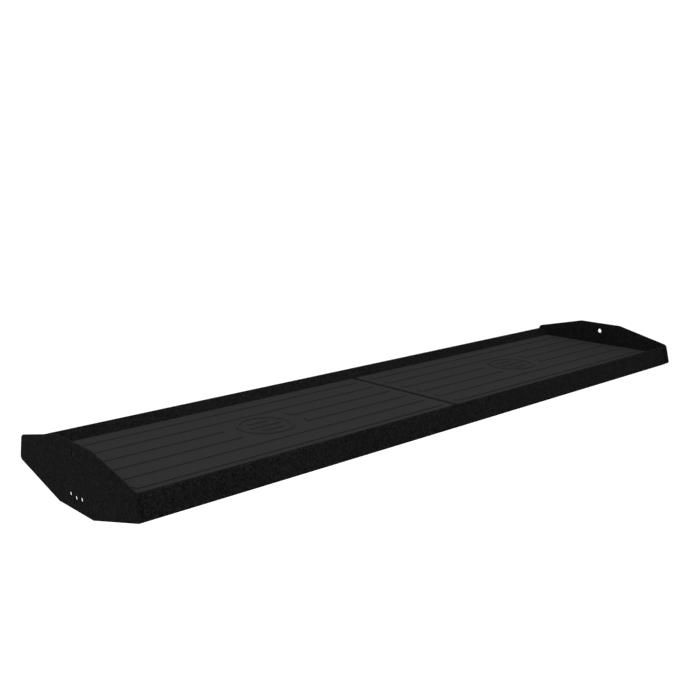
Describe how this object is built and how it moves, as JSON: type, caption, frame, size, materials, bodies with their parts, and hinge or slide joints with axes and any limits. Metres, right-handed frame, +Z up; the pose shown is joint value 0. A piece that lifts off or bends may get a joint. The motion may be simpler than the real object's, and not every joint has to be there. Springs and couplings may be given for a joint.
{
  "type": "running board",
  "caption": "Short black running board: a folded metal tray with raised edges and angular end plates, ribbed step pads lying in it, and slotted angle brackets under the deck.",
  "frame": {"origin": "on the ground under the middle of the board, level with the bottom edges of the end plates", "axes": "+X along the board, +Y towards the vehicle, +Z up"},
  "size_m": [0.762, 0.2034, 0.0577],
  "materials": {
    "powder_coat": "black fine-textured powder coat over sheet steel",
    "pad_rubber": "smooth matte charcoal",
    "zinc_plate": "zinc plated"
  },
  "bodies": {
    "root": {"deck_tray": "powder_coat", "end_plate_left": "powder_coat", "end_plate_right": "powder_coat", "step_pad_left": "pad_rubber", "step_pad_right": "pad_rubber", "mounting_bracket_left": "powder_coat", "mounting_bracket_right": "powder_coat", "weld_stud_left_front": "zinc_plate", "weld_stud_left_middle": "zinc_plate", "weld_stud_left_rear": "zinc_plate", "weld_stud_right_front": "zinc_plate", "weld_stud_right_middle": "zinc_plate", "weld_stud_right_rear": "zinc_plate", "washer_left_front": "zinc_plate", "washer_left_middle": "zinc_plate", "washer_left_rear": "zinc_plate", "washer_right_front": "zinc_plate", "washer_right_middle": "zinc_plate", "washer_right_rear": "zinc_plate", "nut_left_front": "zinc_plate", "nut_left_middle": "zinc_plate", "nut_left_rear": "zinc_plate", "nut_right_front": "zinc_plate", "nut_right_middle": "zinc_plate", "nut_right_rear": "zinc_plate"}
  },
  "joints": []
}
